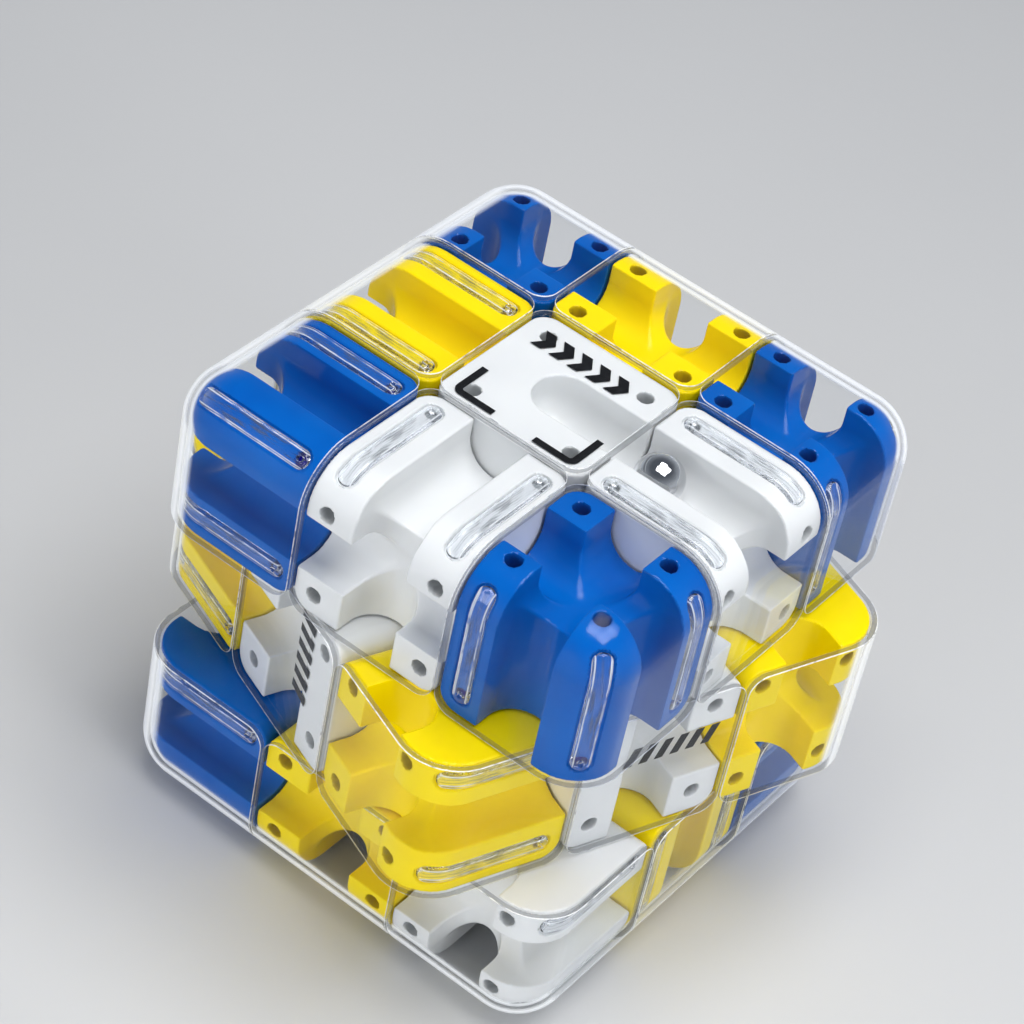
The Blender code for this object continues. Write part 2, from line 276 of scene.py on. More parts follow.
# rails: a point on the rail's own axis, the way it wraps over the outer edge, the way it faces
RAILS = {
    3: ((-PEG_IN * X, Z, -Y), (PEG_IN * Y, Z, X), (FILLET * (X - Y) - SLANT * FILLET, Z, SLANT)),
    2: ((-PEG_IN * X, -Y, Z), (PEG_IN * X, -Y, Z)),
    1: (),
}
PEGS = {
    3: [((px, py, TRACK), Z) for px in (-PEG_IN, PEG_OUT) for py in (PEG_IN, -PEG_OUT)],
    2: [((px, -TRACK, pz), -Y) for px in (-PEG_IN, PEG_IN) for pz in (-PEG_IN, PEG_OUT)],
    1: [((px, py, TRACK), Z) for px in (-PEG_CENTRE, PEG_CENTRE) for py in (-PEG_CENTRE, PEG_CENTRE)],
}


def moulded(p, outs, channels):
    """A small cube's block with its channels, rail pockets and peg holes taken out."""
    skin = outer_skin(p, outs, HALF - TRACK)
    solid = both(skin, seam_sides(p, outs, SEAM))
    for cut in channels:
        solid = without(solid, channel(p, *cut))
    for rail in RAILS[len(outs)]:
        solid = without(solid, pocket(p, skin, rail), POCKET_EDGE)
        screw = peg_hole(p, screw_spot(rail), rail[2], SCREW_R, SCREW_DEPTH)
        solid = without(solid, screw, SCREW_EDGE)
    for spot, normal in PEGS[len(outs)]:
        solid = without(solid, peg_hole(p, spot, normal), PEG_EDGE)
    if len(outs) == 1:
        stalk = np.maximum(np.hypot(p[:, 0], p[:, 1]) - STALK_R, np.abs(p[:, 2] + HALF) - STALK_IN)
        solid = np.minimum(solid, stalk)
    return solid


def corner_track(p):
    return moulded(p, CORNER_OUT, ((Y, Z, CHANNEL_OFF), (X, Z, -CHANNEL_OFF),
                                   (Y, X, CHANNEL_OFF), (X, -Y, -CHANNEL_OFF)))


def edge_track(p):
    return moulded(p, EDGE_OUT, ((X, Z, 0.0), (X, -Y, 0.0), (Z, -Y, -CHANNEL_OFF)))


def cross_track(p):
    return moulded(p, CENTRE_OUT, ((Y, Z, 0.0), (X, Z, 0.0)))


def tee_track(p):
    return moulded(p, CENTRE_OUT, ((Y, Z, 0.0), (X, Z, 0.0, 0.0, Y)))


def start_track(p):
    return moulded(p, CENTRE_OUT, ((Y, Z, 0.0, START_END, X),))


def hole_shade_mark(outs):
    """Painted shade in the holes: 1 down inside the screw holes, PEG_SHADE down the peg holes, 0
    elsewhere.
    """
    def mark(p):
        depth = np.zeros(len(p))
        for spot, normal in PEGS[len(outs)]:
            near = peg_hole(p, spot, normal) < HOLE_REACH
            down = np.minimum(dot(np.array(spot), normal) - dot(p, normal), HOLE_SHADE_FADE)
            depth = np.maximum(depth, near * down * PEG_SHADE)
        for rail in RAILS[len(outs)]:
            near = peg_hole(p, screw_spot(rail), rail[2], SCREW_R, SCREW_DEPTH) < HOLE_REACH
            down = TRACK - POCKET_DEPTH - dot(p - rail[0], rail[2])
            depth = np.maximum(depth, near * down)
        return np.clip(depth / HOLE_SHADE_FADE, 0, 1)
    return mark


def seam_mark(outs):
    """How far in from the cut sides, mm."""
    return lambda p: -seam_sides(p, outs, SEAM)


def bend_mark(outs):
    """1 on the rounded edges and corners, 0 on the flats."""
    def mark(p):
        slope = gradient(lambda q: outer_skin(q, outs, 0.0), p)
        return np.clip((1 - np.abs(slope).max(1)) / BEND_FULL, 0, 1)
    return mark


def depth_mark(outs):
    """How far below the outer face, mm."""
    return lambda p: -outer_skin(p, outs, 0.0)


def rail_mark(outs, pick):
    """Place along (pick 0) or across (pick 1) the nearest rail, mm."""
    rails = RAILS[len(outs)]

    def mark(p):
        nearest = np.argmin([pill(p, *rail, 0.0) for rail in rails], axis=0)
        places = np.array([rail_place(p, *rail)[pick] for rail in rails])
        return places[nearest, np.arange(len(p))]
    return mark


def cover_of(outs):
    def shell(p):
        outside = both(outer_skin(p, outs, 0.0), seam_sides(p, outs, SEAM), COVER_EDGE)
        return without(outside, outer_skin(p, outs, COVER_WALL), COVER_EDGE)
    return shell


def ribs_of(outs):
    def bars(p):
        skin = outer_skin(p, outs, HALF - TRACK)
        return np.minimum.reduce([rib(p, skin, rail) for rail in RAILS[len(outs)]])
    return bars


# ---- meshing ---------------------------------------------------------------------------------
def surface(dist, step, low, high):
    """Quads round the zero level of `dist` in a box, each point pulled onto the surface."""
    counts = [int(math.ceil((high[k] - low[k]) / step)) + 1 for k in range(3)]
    lines = [low[k] + step * np.arange(counts[k]) for k in range(3)]
    grid = np.stack(np.meshgrid(*lines, indexing="ij"), -1).reshape(-1, 3)
    value = np.concatenate([dist(part) for part in np.array_split(grid, BATCHES)]).reshape(counts)
    inside = value < 0
    cells = [n - 1 for n in counts]
    total = np.zeros(cells + [3])
    hits = np.zeros(cells)
    corners = [(i, j, k) for i in (0, 1) for j in (0, 1) for k in (0, 1)]
    for a in corners:
        for b in corners:
            if sum(b) - sum(a) != 1 or any(b[k] < a[k] for k in range(3)):
                continue
            va = value[tuple(slice(a[k], a[k] + cells[k]) for k in range(3))]
            vb = value[tuple(slice(b[k], b[k] + cells[k]) for k in range(3))]
            cross = (va < 0) != (vb < 0)
            share = np.where(cross, va / np.where(cross, va - vb, 1), 0)
            for k in range(3):
                total[..., k] += np.where(cross, a[k] + share * (b[k] - a[k]), 0)
            hits += cross
    used = hits > 0
    index = np.full(cells, -1)
    index[used] = np.arange(used.sum())
    base = np.argwhere(used)
    points = np.array(low) + step * (base + total[used] / hits[used][:, None])
    quads = []
    for axis in range(3):
        u, v = [(1, 2), (2, 0), (0, 1)][axis]
        first = [slice(0, n) for n in counts]
        second = [slice(0, n) for n in counts]
        first[axis], second[axis] = slice(0, counts[axis] - 1), slice(1, counts[axis])
        change = inside[tuple(first)] != inside[tuple(second)]
        spots = np.argwhere(change)
        ok = (spots[:, u] > 0) & (spots[:, v] > 0)
        ok &= (spots[:, u] < cells[u]) & (spots[:, v] < cells[v])
        spots = spots[ok]
        ring = []
        for du, dv in ((1, 1), (0, 1), (0, 0), (1, 0)):
            cell = spots.copy()
            cell[:, u] -= du
            cell[:, v] -= dv
            ring.append(index[tuple(cell.T)])
        ring = np.stack(ring, 1)
        flip = ~inside[tuple(spots.T)]
        ring[flip] = ring[flip][:, ::-1]
        quads.append(ring)
    quads = np.concatenate(quads)
    return settle(dist, points, 0.5 * step, 4), quads


def settle(dist, points, most, rounds):
    """Pulls points onto the surface, at most `most` in each round."""
    for _ in range(rounds):
        slope = gradient(dist, points)
        size = np.maximum((slope * slope).sum(1), 0.05)
        move = -(dist(points) / size)[:, None] * slope
        length = np.linalg.norm(move, axis=1)
        points = points + move * np.minimum(1, most / np.maximum(length, 1e-9))[:, None]
    return points


def gradient(dist, points, eps=0.01):
    parts = []
    for k in range(3):
        shift = np.zeros(3)
        shift[k] = eps
        parts.append((dist(points + shift) - dist(points - shift)) / (2 * eps))
    return np.stack(parts, 1)


def thinned(mesh, keep):
    """The mesh collapsed to `keep` of its faces."""
    obj = bpy.data.objects.new(mesh.name, mesh)
    bpy.context.scene.collection.objects.link(obj)
    obj.modifiers.new("thin", "DECIMATE").ratio = keep
    bpy.context.view_layer.update()
    graph = bpy.context.evaluated_depsgraph_get()
    final = bpy.data.meshes.new_from_object(obj.evaluated_get(graph))
    bpy.data.objects.remove(obj, do_unlink=True)
    return final


def creased(mesh, normals):
    """Normals per face corner: the solid's own, or the face's where the solid bends sharply."""
    verts = np.empty(len(mesh.loops), int)
    mesh.loops.foreach_get("vertex_index", verts)
    flat = np.empty(len(mesh.polygons) * 3)
    mesh.polygons.foreach_get("normal", flat)
    sizes = np.empty(len(mesh.polygons), int)
    mesh.polygons.foreach_get("loop_total", sizes)
    flat = np.repeat(flat.reshape(-1, 3), sizes, axis=0)
    bent = normals[verts]
    return np.where((bent * flat).sum(1)[:, None] > CREASE, bent, flat)


def moulding(name, dist, step, keep, outs, marks):
    """Mesh of a distance solid in metres, thinned to `keep` of its faces, with exact normals."""
    edge = HALF + MARGIN * step
    floor = HALF + STALK_IN + MARGIN * step if len(outs) == 1 else edge
    points, quads = surface(dist, step, (-edge, -edge, -floor), (edge, edge, edge))
    mesh = bpy.data.meshes.new(name)
    mesh.from_pydata(points.tolist(), [], quads.tolist())
    mesh.update()
    final = thinned(mesh, keep)
    spots = np.empty(len(final.vertices) * 3)
    final.vertices.foreach_get("co", spots)
    spots = settle(dist, spots.reshape(-1, 3), 0.2 * step, 2)
    normals = gradient(dist, spots)
    normals /= np.maximum(np.linalg.norm(normals, axis=1), 1e-9)[:, None]
    final.vertices.foreach_set("co", (spots * MM).ravel())
    final.update()
    final.polygons.foreach_set("use_smooth", [True] * len(final.polygons))
    final.normals_split_custom_set(creased(final, normals).tolist())
    for title, mark in marks:
        final.attributes.new(title, "FLOAT", "POINT").data.foreach_set("value", mark(spots))
    final.name = name
    return final


# ---- where each small cube goes --------------------------------------------------------------
UP, DOWN = Vector((0, 0, 1)), Vector((0, 0, -1))
EAST, WEST = Vector((1, 0, 0)), Vector((-1, 0, 0))
NORTH, SOUTH = Vector((0, 1, 0)), Vector((0, -1, 0))

# the face of each corner and edge on which two channels cross
CROSSING = {
    "top_corner_front": UP, "top_corner_left": WEST, "top_corner_right": UP,
    "top_corner_back": UP, "top_edge_front_left": SOUTH, "top_edge_front_right": EAST,
    "top_edge_back_left": WEST, "top_edge_back_right": UP,
    "middle_edge_front": SOUTH, "middle_edge_right": EAST,
    "middle_edge_left": WEST, "middle_edge_back": NORTH,
    "bottom_corner_front": SOUTH, "bottom_corner_left": WEST, "bottom_corner_right": NORTH,
    "bottom_corner_back": DOWN, "bottom_edge_front_left": SOUTH,
    "bottom_edge_front_right": DOWN, "bottom_edge_back_left": WEST,
    "bottom_edge_back_right": DOWN,
}
# direction of the through channel on the face centres that have three ways out
TEE_RUN = {"middle_centre_front_left": UP, "middle_centre_front_right": DOWN}


def turn_from(first, second, third):
    return Matrix((first, second, third)).transposed()


def corner_turn(outs, cross):
    one, two = [d for d in outs if d != cross]
    rot = turn_from(one, -two, cross)
    return rot if rot.determinant() > 0 else turn_from(two, -one, cross)


def edge_turn(outs, cross):
    rail = [d for d in outs if d != cross][0]
    return turn_from((-cross).cross(rail), -cross, rail)


def centre_turn(normal, run=None):
    run = run or (UP if normal.z == 0 else EAST)
    return turn_from(run, normal.cross(run), normal)


def outs_of(spot):
    outs = []
    for axis in range(3):
        if spot[axis]:
            way = Vector((0, 0, 0))
            way[axis] = spot[axis]
            outs.append(way)
    return outs


def placing(name):
    """Grid place, rotation and full placement of a small cube, from its track node's box."""
    yaw = MIDDLE_TURN if name.startswith("middle") else 0.0
    swing = Matrix.Rotation(yaw, 4, "Z")
    lift = Matrix.Translation((0, 0, MID_Z))
    rel = (lift @ swing).inverted() @ centre_of(name + "_track")
    spot = Vector([round(v / PITCH) for v in rel])
    outs = outs_of(spot)
    if len(outs) == 3:
        rot = corner_turn(outs, CROSSING[name])
    elif len(outs) == 2:
        rot = edge_turn(outs, CROSSING[name])
    else:
        rot = centre_turn(outs[0], TEE_RUN.get(name))
    world = lift @ swing @ Matrix.Translation(spot * PITCH) @ rot.to_4x4()
    return outs, world


# ---- colours and surface detail --------------------------------------------------------------
# tone, deeper tone of the flow marks, and the painted shade inside the holes
BLUE_TONES = (0.0, 0.118, 0.49), (0.0, 0.095, 0.43), (0.006, 0.004, 0.22)
YELLOW_TONES = (0.97, 0.75, 0.0), (0.94, 0.71, 0.0), (0.36, 0.25, 0.0)
WHITE_TONES = (0.79, 0.80, 0.80), (0.75, 0.76, 0.765), (0.34, 0.36, 0.37)
GREY_TONES = (0.30, 0.31, 0.33), (0.25, 0.26, 0.28), (0.1, 0.1, 0.11)
SCUFF_TONE = (0.8, 0.82, 0.84)
CLEAR_TINT = (0.992, 0.995, 0.998)
CLEAR_EDGE_ON = (0.86, 0.89, 0.92)
CLEAR_MIRROR = (0.92, 0.96, 1.0, 1.0)
# painted highlight: white of the band along the covers' bends and grazing flats, and its painted glow
PAINTED_BAND_WHITE = (0.92, 0.94, 0.95, 1.0)
PAINTED_BAND_GLOW = (0.95, 0.97, 1.0, 1.0)
# painted shade down the cut rims, where the seams are narrow
PAINTED_GAP_SHADE = (0.05, 0.055, 0.065, 1.0)
# painted glints on the cut rims
GLINT_DARK, GLINT_MID = (0.34, 0.36, 0.39, 1), (0.74, 0.76, 0.79, 1)
GLINT_BRIGHT = (0.95, 0.96, 0.98, 1)
RIB_TINT = (0.985, 0.99, 1.0, 1.0)
RIB_SHADE = (0.95, 0.96, 0.97, 1.0)
# painted reflections in the ribs: dark streaks and bright highlight lines
RIB_PAINTED_DARK, RIB_PAINTED_BRIGHT = (0.09, 0.10, 0.115, 1.0), (0.95, 0.97, 1.0, 1.0)
STEEL_TONE, STEEL_SMUDGE = (0.68, 0.69, 0.71), (0.56, 0.57, 0.59)
INK_TONE, INK_WORN = (0.003, 0.003, 0.004), (0.014, 0.014, 0.017)
FLOOR_TONE, FLOOR_DRIFT = (0.56, 0.565, 0.575), (0.61, 0.615, 0.62)
FLOOR_GLOW = (0.95, 0.97, 1.0, 1.0)
FLOOR_LIFT = 0.35, 1.1, 0.0, 0.36           # distances, metres, and the glow at each

# feature sizes of the noises, mm
FLOW, SPECK, SCUFF, PEEL = 9.0, 0.35, 1.1, 1.6
CLEAR_SCUFF, CLEAR_GRAIN, CLEAR_WAVE, GLINT = 1.4, 0.5, 6.0, 1.6
RIB_WAVE, RIB_GRAIN = 1.2, 0.6
SMUDGE, HAIR, INK_PATCH = 2.5, 0.12, 0.6
FLOOR_CLOUD, FLOOR_GRAIN = 160.0, 3.0
STREAK, STREAK_PULL = 2.1, 0.11             # painted reflection streaks per mm across a rib, and their pull along it


# ---- materials -------------------------------------------------------------------------------
class Shader:
    """A material's node tree with short calls for adding and joining nodes."""

    def __init__(self, name):
        self.mat = bpy.data.materials.new(name)
        self.mat.use_nodes = True
        self.tree = self.mat.node_tree
        self.tree.nodes.clear()
        self.out = self.tree.nodes.new("ShaderNodeOutputMaterial")
        self.coords = self.add("TexCoord").outputs["Object"]

    def add(self, kind, **settings):
        node = self.tree.nodes.new("ShaderNode" + kind)
        for key, value in settings.items():
            setattr(node, key, value)
        return node

    def put(self, socket, value):
        if isinstance(value, bpy.types.NodeSocket):
            self.tree.links.new(value, socket)
        else:
            socket.default_value = value

    def noise(self, size_mm, detail=3.0, rough=0.55, stretch=(1, 1, 1)):
        """Soft noise with features about size_mm across."""
        scaled = self.add("Mapping")
        self.put(scaled.inputs["Vector"], self.coords)
        self.put(scaled.inputs["Scale"], stretch)
        node = self.add("TexNoise")
        self.put(node.inputs["Vector"], scaled.outputs["Vector"])
        self.put(node.inputs["Scale"], 1000.0 / size_mm)
        self.put(node.inputs["Detail"], detail)
        self.put(node.inputs["Roughness"], rough)
        return node.outputs["Fac"]

    def mark(self, title):
        return self.add("Attribute", attribute_name=title).outputs["Fac"]

    def remap(self, value, low, high, new_low, new_high):
        node = self.add("MapRange")
        self.put(node.inputs["Value"], value)
        names = ("From Min", "From Max", "To Min", "To Max")
        for key, number in zip(names, (low, high, new_low, new_high)):
            self.put(node.inputs[key], number)
        return node.outputs["Result"]

    def maths(self, operation, a, b=0.0):
        node = self.add("Math", operation=operation)
        self.put(node.inputs[0], a)
        self.put(node.inputs[1], b)
        return node.outputs[0]

    def blend(self, factor, a, b):
        node = self.add("Mix", data_type="RGBA")
        self.put(node.inputs[0], factor)
        self.put(node.inputs[6], (*a, 1.0) if isinstance(a, tuple) else a)
        self.put(node.inputs[7], (*b, 1.0) if isinstance(b, tuple) else b)
        return node.outputs[2]

    def bump(self, height, strength, distance_mm):
        node = self.add("Bump")
        self.put(node.inputs["Height"], height)
        self.put(node.inputs["Strength"], strength)
        self.put(node.inputs["Distance"], distance_mm * MM)
        return node.outputs["Normal"]

    def principled(self, **inputs):
        node = self.add("BsdfPrincipled")
        for key, value in inputs.items():
            self.put(node.inputs[key.replace("_", " ")], value)
        return node

    def done(self, shader):
        self.tree.links.new(shader, self.out.inputs["Surface"])
        return self.mat


def plastic(name, tones, rough, level, glow=0.0):
    """Moulded opaque plastic: faint flow mottling, fine scuffs, a soft orange-peel skin and painted
    shade down the holes.
    """
    s = Shader(name)
    tone, deep, hole_shade = tones
    flow = s.remap(s.noise(FLOW, 2.0), 0.35, 0.68, 0.0, 1.0)
    speck = s.noise(SPECK, 4.0, 0.7)
    scuff = s.remap(s.noise(SCUFF, 6.0, 0.72, (1, 1, 4)), 0.62, 0.85, 0.0, 1.0)
    colour = s.blend(flow, tone, deep)
    colour = s.blend(s.maths("MULTIPLY", scuff, 0.05), colour, SCUFF_TONE)
    # painted shade: the colour darkens down inside the holes
    colour = s.blend(s.mark("hole_shade"), colour, hole_shade)
    shine = s.maths("ADD", s.remap(speck, 0.3, 0.7, rough - 0.03, rough + 0.05),
                    s.maths("MULTIPLY", scuff, 0.12))
    peel = s.maths("ADD", s.maths("MULTIPLY", s.noise(PEEL, 2.0), 0.7),
                   s.maths("MULTIPLY", speck, 0.08))
    node = s.principled(Base_Color=colour, Roughness=shine, Normal=s.bump(peel, 0.2, 0.04))
    node.inputs["Specular IOR Level"].default_value = level
    if glow:
        node.inputs["Subsurface Weight"].default_value = glow
        node.inputs["Subsurface Scale"].default_value = 0.8 * MM
        node.inputs["Subsurface Radius"].default_value = (1.0, 0.75, 0.5)
    return s.done(node.outputs["BSDF"])


def mixed(s, factor, first, second):
    """One shader over another by a factor."""
    node = s.add("MixShader")
    s.put(node.inputs[0], factor)
    s.put(node.inputs[1], first)
    s.put(node.inputs[2], second)
    return node.outputs[0]


def painted_glints(s, size_mm):
    """Painted glints: light and dark flecks standing for the reflections a cut clear edge shows, as a
    grey colour.
    """
    fleck = s.noise(size_mm, 2.0, 0.6)
    ramp = s.add("ValToRGB")
    s.put(ramp.inputs["Fac"], fleck)
    stops = ramp.color_ramp.elements
    stops[0].position, stops[0].color = 0.32, GLINT_DARK
    stops[1].position, stops[1].color = 0.47, GLINT_BRIGHT
    stops.new(0.40).color = GLINT_MID
    return ramp.outputs["Color"]


def clear(name):
    """Thin clear plastic: see-through face on, mirror-like at a glance, with a painted highlight line
    and painted glints along its cut rims, painted shade down the cuts, and a painted white band with a
    faint painted glow along its bends and where it is seen nearly edge on.
    """
    s = Shader(name)
    facing = s.add("LayerWeight").outputs["Facing"]
    steep = s.maths("POWER", facing, 5.0)
    scuff = s.remap(s.noise(CLEAR_SCUFF, 7.0, 0.75, (1, 5, 1)), 0.66, 0.85, 0.0, 1.0)

    # the see-through part and the mirror over it
    through = s.add("BsdfTransparent")
    s.put(through.inputs["Color"], s.blend(steep, CLEAR_TINT, CLEAR_EDGE_ON))
    shine = s.remap(s.noise(CLEAR_GRAIN, 3.0), 0.3, 0.7, 0.02, 0.05)
    gloss = s.principled(Base_Color=CLEAR_MIRROR, Metallic=1.0,
                         Normal=s.bump(s.noise(CLEAR_WAVE, 1.0), 0.06, 0.05),
                         Roughness=s.maths("ADD", shine, s.maths("MULTIPLY", scuff, 0.15)))
    mirror = s.maths("ADD", s.maths("MULTIPLY", steep, 0.5), 0.008)

    # a painted white band with a faint painted glow, standing for the light caught along a bend and on
    # flats seen nearly edge on; the scuffs are real
    painted_white_band = s.principled(Base_Color=PAINTED_BAND_WHITE, Roughness=0.2,
                        Emission_Color=PAINTED_BAND_GLOW, Emission_Strength=0.3)
    grazing = s.remap(facing, 0.80, 0.95, 0.0, 0.45)
    grazing_sheen_and_scuffs = s.maths("ADD", grazing, s.maths("MULTIPLY", scuff, 0.006))
    band = s.maths("MULTIPLY", s.mark("bend"), s.remap(facing, 0.58, 0.72, 0.0, 0.72))
    veil = mixed(s, s.maths("MAXIMUM", grazing_sheen_and_scuffs, band), through.outputs[0], painted_white_band.outputs[0])

    # the cut rims: a painted highlight line along the outer edge, and painted shade down the cut
    edge = s.principled(Base_Color=painted_glints(s, GLINT), Roughness=0.12)
    cut = s.principled(Base_Color=PAINTED_GAP_SHADE, Roughness=0.15)
    near = s.remap(s.mark("seam"), RIM_LINE * RIM_SHARP, RIM_LINE, 1.0, 0.0)
    high = s.remap(s.mark("depth"), RIM_FADE * RIM_SHARP, RIM_FADE, 1.0, 0.0)
    line = s.maths("MULTIPLY", near, high)
    deep = s.maths("SUBTRACT", near, line)
    veil = mixed(s, s.maths("MULTIPLY", line, 0.8), veil, edge.outputs[0])
    veil = mixed(s, s.maths("MULTIPLY", deep, 0.4), veil, cut.outputs[0])
    return s.done(mixed(s, mirror, veil, gloss.outputs[0]))


def lens(name):
    """Clear rib: bends what lies behind it, with painted dark reflections and painted highlights as
    streaks along its length.
    """
    s = Shader(name)
    glass = s.add("BsdfGlass")
    s.put(glass.inputs["Color"], RIB_TINT)
    s.put(glass.inputs["Roughness"], s.remap(s.noise(RIB_GRAIN, 3.0), 0.3, 0.7, 0.0, 0.03))
    s.put(glass.inputs["IOR"], 1.49)
    s.put(glass.inputs["Normal"], s.bump(s.noise(RIB_WAVE, 3.0, 0.6), 0.25, 0.06))

    # painted reflection streaks, drawn in places along and across the rib
    across = s.mark("across")
    place = s.add("CombineXYZ")
    s.put(place.inputs["X"], across)
    s.put(place.inputs["Y"], s.maths("MULTIPLY", s.mark("along"), STREAK_PULL))
    grain = s.add("TexNoise")
    s.put(grain.inputs["Vector"], place.outputs[0])
    s.put(grain.inputs["Scale"], STREAK)
    s.put(grain.inputs["Detail"], 3.0)
    streak = grain.outputs["Fac"]
    dark = s.principled(Base_Color=RIB_PAINTED_DARK, Roughness=0.12)
    shell = mixed(s, s.remap(streak, 0.50, 0.66, 0.0, 0.5), glass.outputs[0], dark.outputs[0])

    # a broken painted highlight line along either side
    bright = s.principled(Base_Color=RIB_PAINTED_BRIGHT, Roughness=0.1)
    off = s.maths("ABSOLUTE", s.maths("SUBTRACT", s.maths("ABSOLUTE", across), RIB_LINE))
    side = s.remap(off, 0.04, 0.13, 0.6, 0.0)
    side = s.maths("MULTIPLY", side, s.remap(streak, 0.42, 0.52, 0.15, 1.0))
    shell = mixed(s, side, shell, bright.outputs[0])

    # light goes straight through to the pocket below
    through = s.add("BsdfTransparent")
    s.put(through.inputs["Color"], RIB_SHADE)
    path = s.add("LightPath").outputs
    lit = s.maths("MAXIMUM", path["Is Shadow Ray"], path["Is Diffuse Ray"])
    return s.done(mixed(s, lit, shell, through.outputs[0]))


def steel(name):
    """Polished ball steel with faint hairlines and a little smudging."""
    s = Shader(name)
    smudge = s.remap(s.noise(SMUDGE, 4.0), 0.45, 0.75, 0.0, 1.0)
    hair = s.noise(HAIR, 5.0, 0.8, (1, 14, 1))
    shine = s.maths("ADD", s.remap(hair, 0.3, 0.7, 0.025, 0.06), s.maths("MULTIPLY", smudge, 0.05))
    colour = s.blend(smudge, STEEL_TONE, STEEL_SMUDGE)
    node = s.principled(Base_Color=colour, Metallic=1.0, Roughness=shine,
                        Normal=s.bump(hair, 0.05, 0.01))
    return s.done(node.outputs["BSDF"])


def ink(name):
    """Pad-printed black, slightly uneven."""
    s = Shader(name)
    patch = s.noise(INK_PATCH, 5.0, 0.7)
    colour = s.blend(s.remap(patch, 0.45, 0.75, 0.0, 1.0), INK_TONE, INK_WORN)
    node = s.principled(Base_Color=colour, Roughness=s.remap(patch, 0.3, 0.7, 0.3, 0.45),
                        Specular_IOR_Level=0.2, Normal=s.bump(patch, 0.1, 0.01))
    return s.done(node.outputs["BSDF"])


def ground(name):
    """Pale matt floor with slow, faint clouding, kept light far from the lamps."""
    s = Shader(name)
    away = s.add("VectorMath", operation="LENGTH")
    s.put(away.inputs[0], s.coords)
    far = s.remap(away.outputs["Value"], *FLOOR_LIFT)
    colour = s.blend(s.noise(FLOOR_CLOUD, 3.0), FLOOR_TONE, FLOOR_DRIFT)
    grain = s.remap(s.noise(FLOOR_GRAIN), 0.3, 0.7, 0.5, 0.6)
    node = s.principled(Base_Color=colour, Roughness=grain, Emission_Color=FLOOR_GLOW,
                        Emission_Strength=far)
    return s.done(node.outputs["BSDF"])


BLUE = plastic("moulded_blue", BLUE_TONES, 0.14, 0.22)
YELLOW = plastic("moulded_yellow", YELLOW_TONES, 0.2, 0.2)
WHITE = plastic("moulded_white", WHITE_TONES, 0.16, 0.4, 0.05)
GREY = plastic("moulded_grey", GREY_TONES, 0.4, 0.4)
CLEAR = clear("clear_cover")
LENS = lens("clear_rib")
STEEL = steel("ball_steel")
INK = ink("printed_black")
COLOURS = {"blue_plastic": BLUE, "yellow_plastic": YELLOW, "white_plastic": WHITE}
SLOT_OF = {row["node"]: row["material_slot"] for row in frame["record"]["subparts"]}


# ---- the pieces ------------------------------------------------------------------------------
def body_of_layer(name):
    for start, body in (("top", "top_layer"), ("bottom", "bottom_layer"), ("steel", "steel_ball")):
        if name.startswith(start):
            return body
    return "core_and_middle"


def piece(name, mesh, mats, world, node):
    """Sets a finished mesh in its place, riding on its layer and standing for its CAD node."""
    if name.startswith("middle"):
        mesh = mesh.copy()
        mesh.transform(world)
        world = Matrix.Identity(4)
    mesh.materials.clear()
    for mat in mats:
        mesh.materials.append(mat)
    obj = bpy.data.objects.new(name, mesh)
    bpy.context.scene.collection.objects.link(obj)
    obj.matrix_world = world
    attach(obj, body_of_layer(name))
    if node:
        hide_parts(node)
    return obj


def build_cubes():
    """The 26 small cubes: a track, a cover and, on corners and edges, ribs for each."""
    tracks, covers, ribs = {}, {}, {}
    kinds = (("corner", CORNER_OUT, corner_track), ("edge", EDGE_OUT, edge_track),
             ("cross", CENTRE_OUT, cross_track), ("tee", CENTRE_OUT, tee_track),
             ("start", CENTRE_OUT, start_track))
    for kind, outs, dist in kinds:
        marks = [("hole_shade", hole_shade_mark(outs))]
        tracks[kind] = moulding(kind + "_moulding", dist, TRACK_STEP, TRACK_KEEP, outs, marks)
    for outs in (CORNER_OUT, EDGE_OUT, CENTRE_OUT):
        count = len(outs)
        marks = [("seam", seam_mark(outs)), ("depth", depth_mark(outs)), ("bend", bend_mark(outs))]
        covers[count] = moulding("cover_%d" % count, cover_of(outs), COVER_STEP, COVER_KEEP, outs,
                                 marks)
        if RAILS[count]:
            marks = [("along", rail_mark(outs, 0)), ("across", rail_mark(outs, 1))]
            ribs[count] = moulding("ribs_%d" % count, ribs_of(outs), RIB_STEP, RIB_KEEP, outs, marks)
    painted = {}
    names = sorted(n[:-len("_track")] for n in frame["nodes"] if n.endswith("_track"))
    for name in names:
        outs, world = placing(name)
        kind = {3: "corner", 2: "edge", 1: "cross"}[len(outs)]
        kind = "start" if name == "top_centre" else "tee" if name in TEE_RUN else kind
        slot = SLOT_OF[name + "_track"]
        if (kind, slot) not in painted:
            painted[kind, slot] = tracks[kind].copy()
        piece(name + "_moulding", painted[kind, slot], [COLOURS[slot]], world, name + "_track")
        slot = SLOT_OF[name + "_cover"]
        piece(name + "_clear", covers[len(outs)], [CLEAR], world, name + "_cover")
        if len(outs) in ribs:
            piece(name + "_ribs", ribs[len(outs)], [LENS], world, None)


build_cubes()


# ---- printed marks ---------------------------------------------------------------------------
def stroke(points, width):
    """Outline of a bent line of constant width, mitred at its corner."""
    left, right = [], []
    for k, spot in enumerate(points):
        ways = []
        if k > 0:
            ways.append((spot - points[k - 1]).normalized())
        if k < len(points) - 1:
            ways.append((points[k + 1] - spot).normalized())
        along = sum(ways, Vector((0, 0))).normalized()
        across = Vector((-along.y, along.x))
        reach = width / 2 / max(across.dot(Vector((-ways[0].y, ways[0].x))), 0.5)
        left.append(spot + across * reach)
        right.append(spot - across * reach)
    return left + right[::-1]


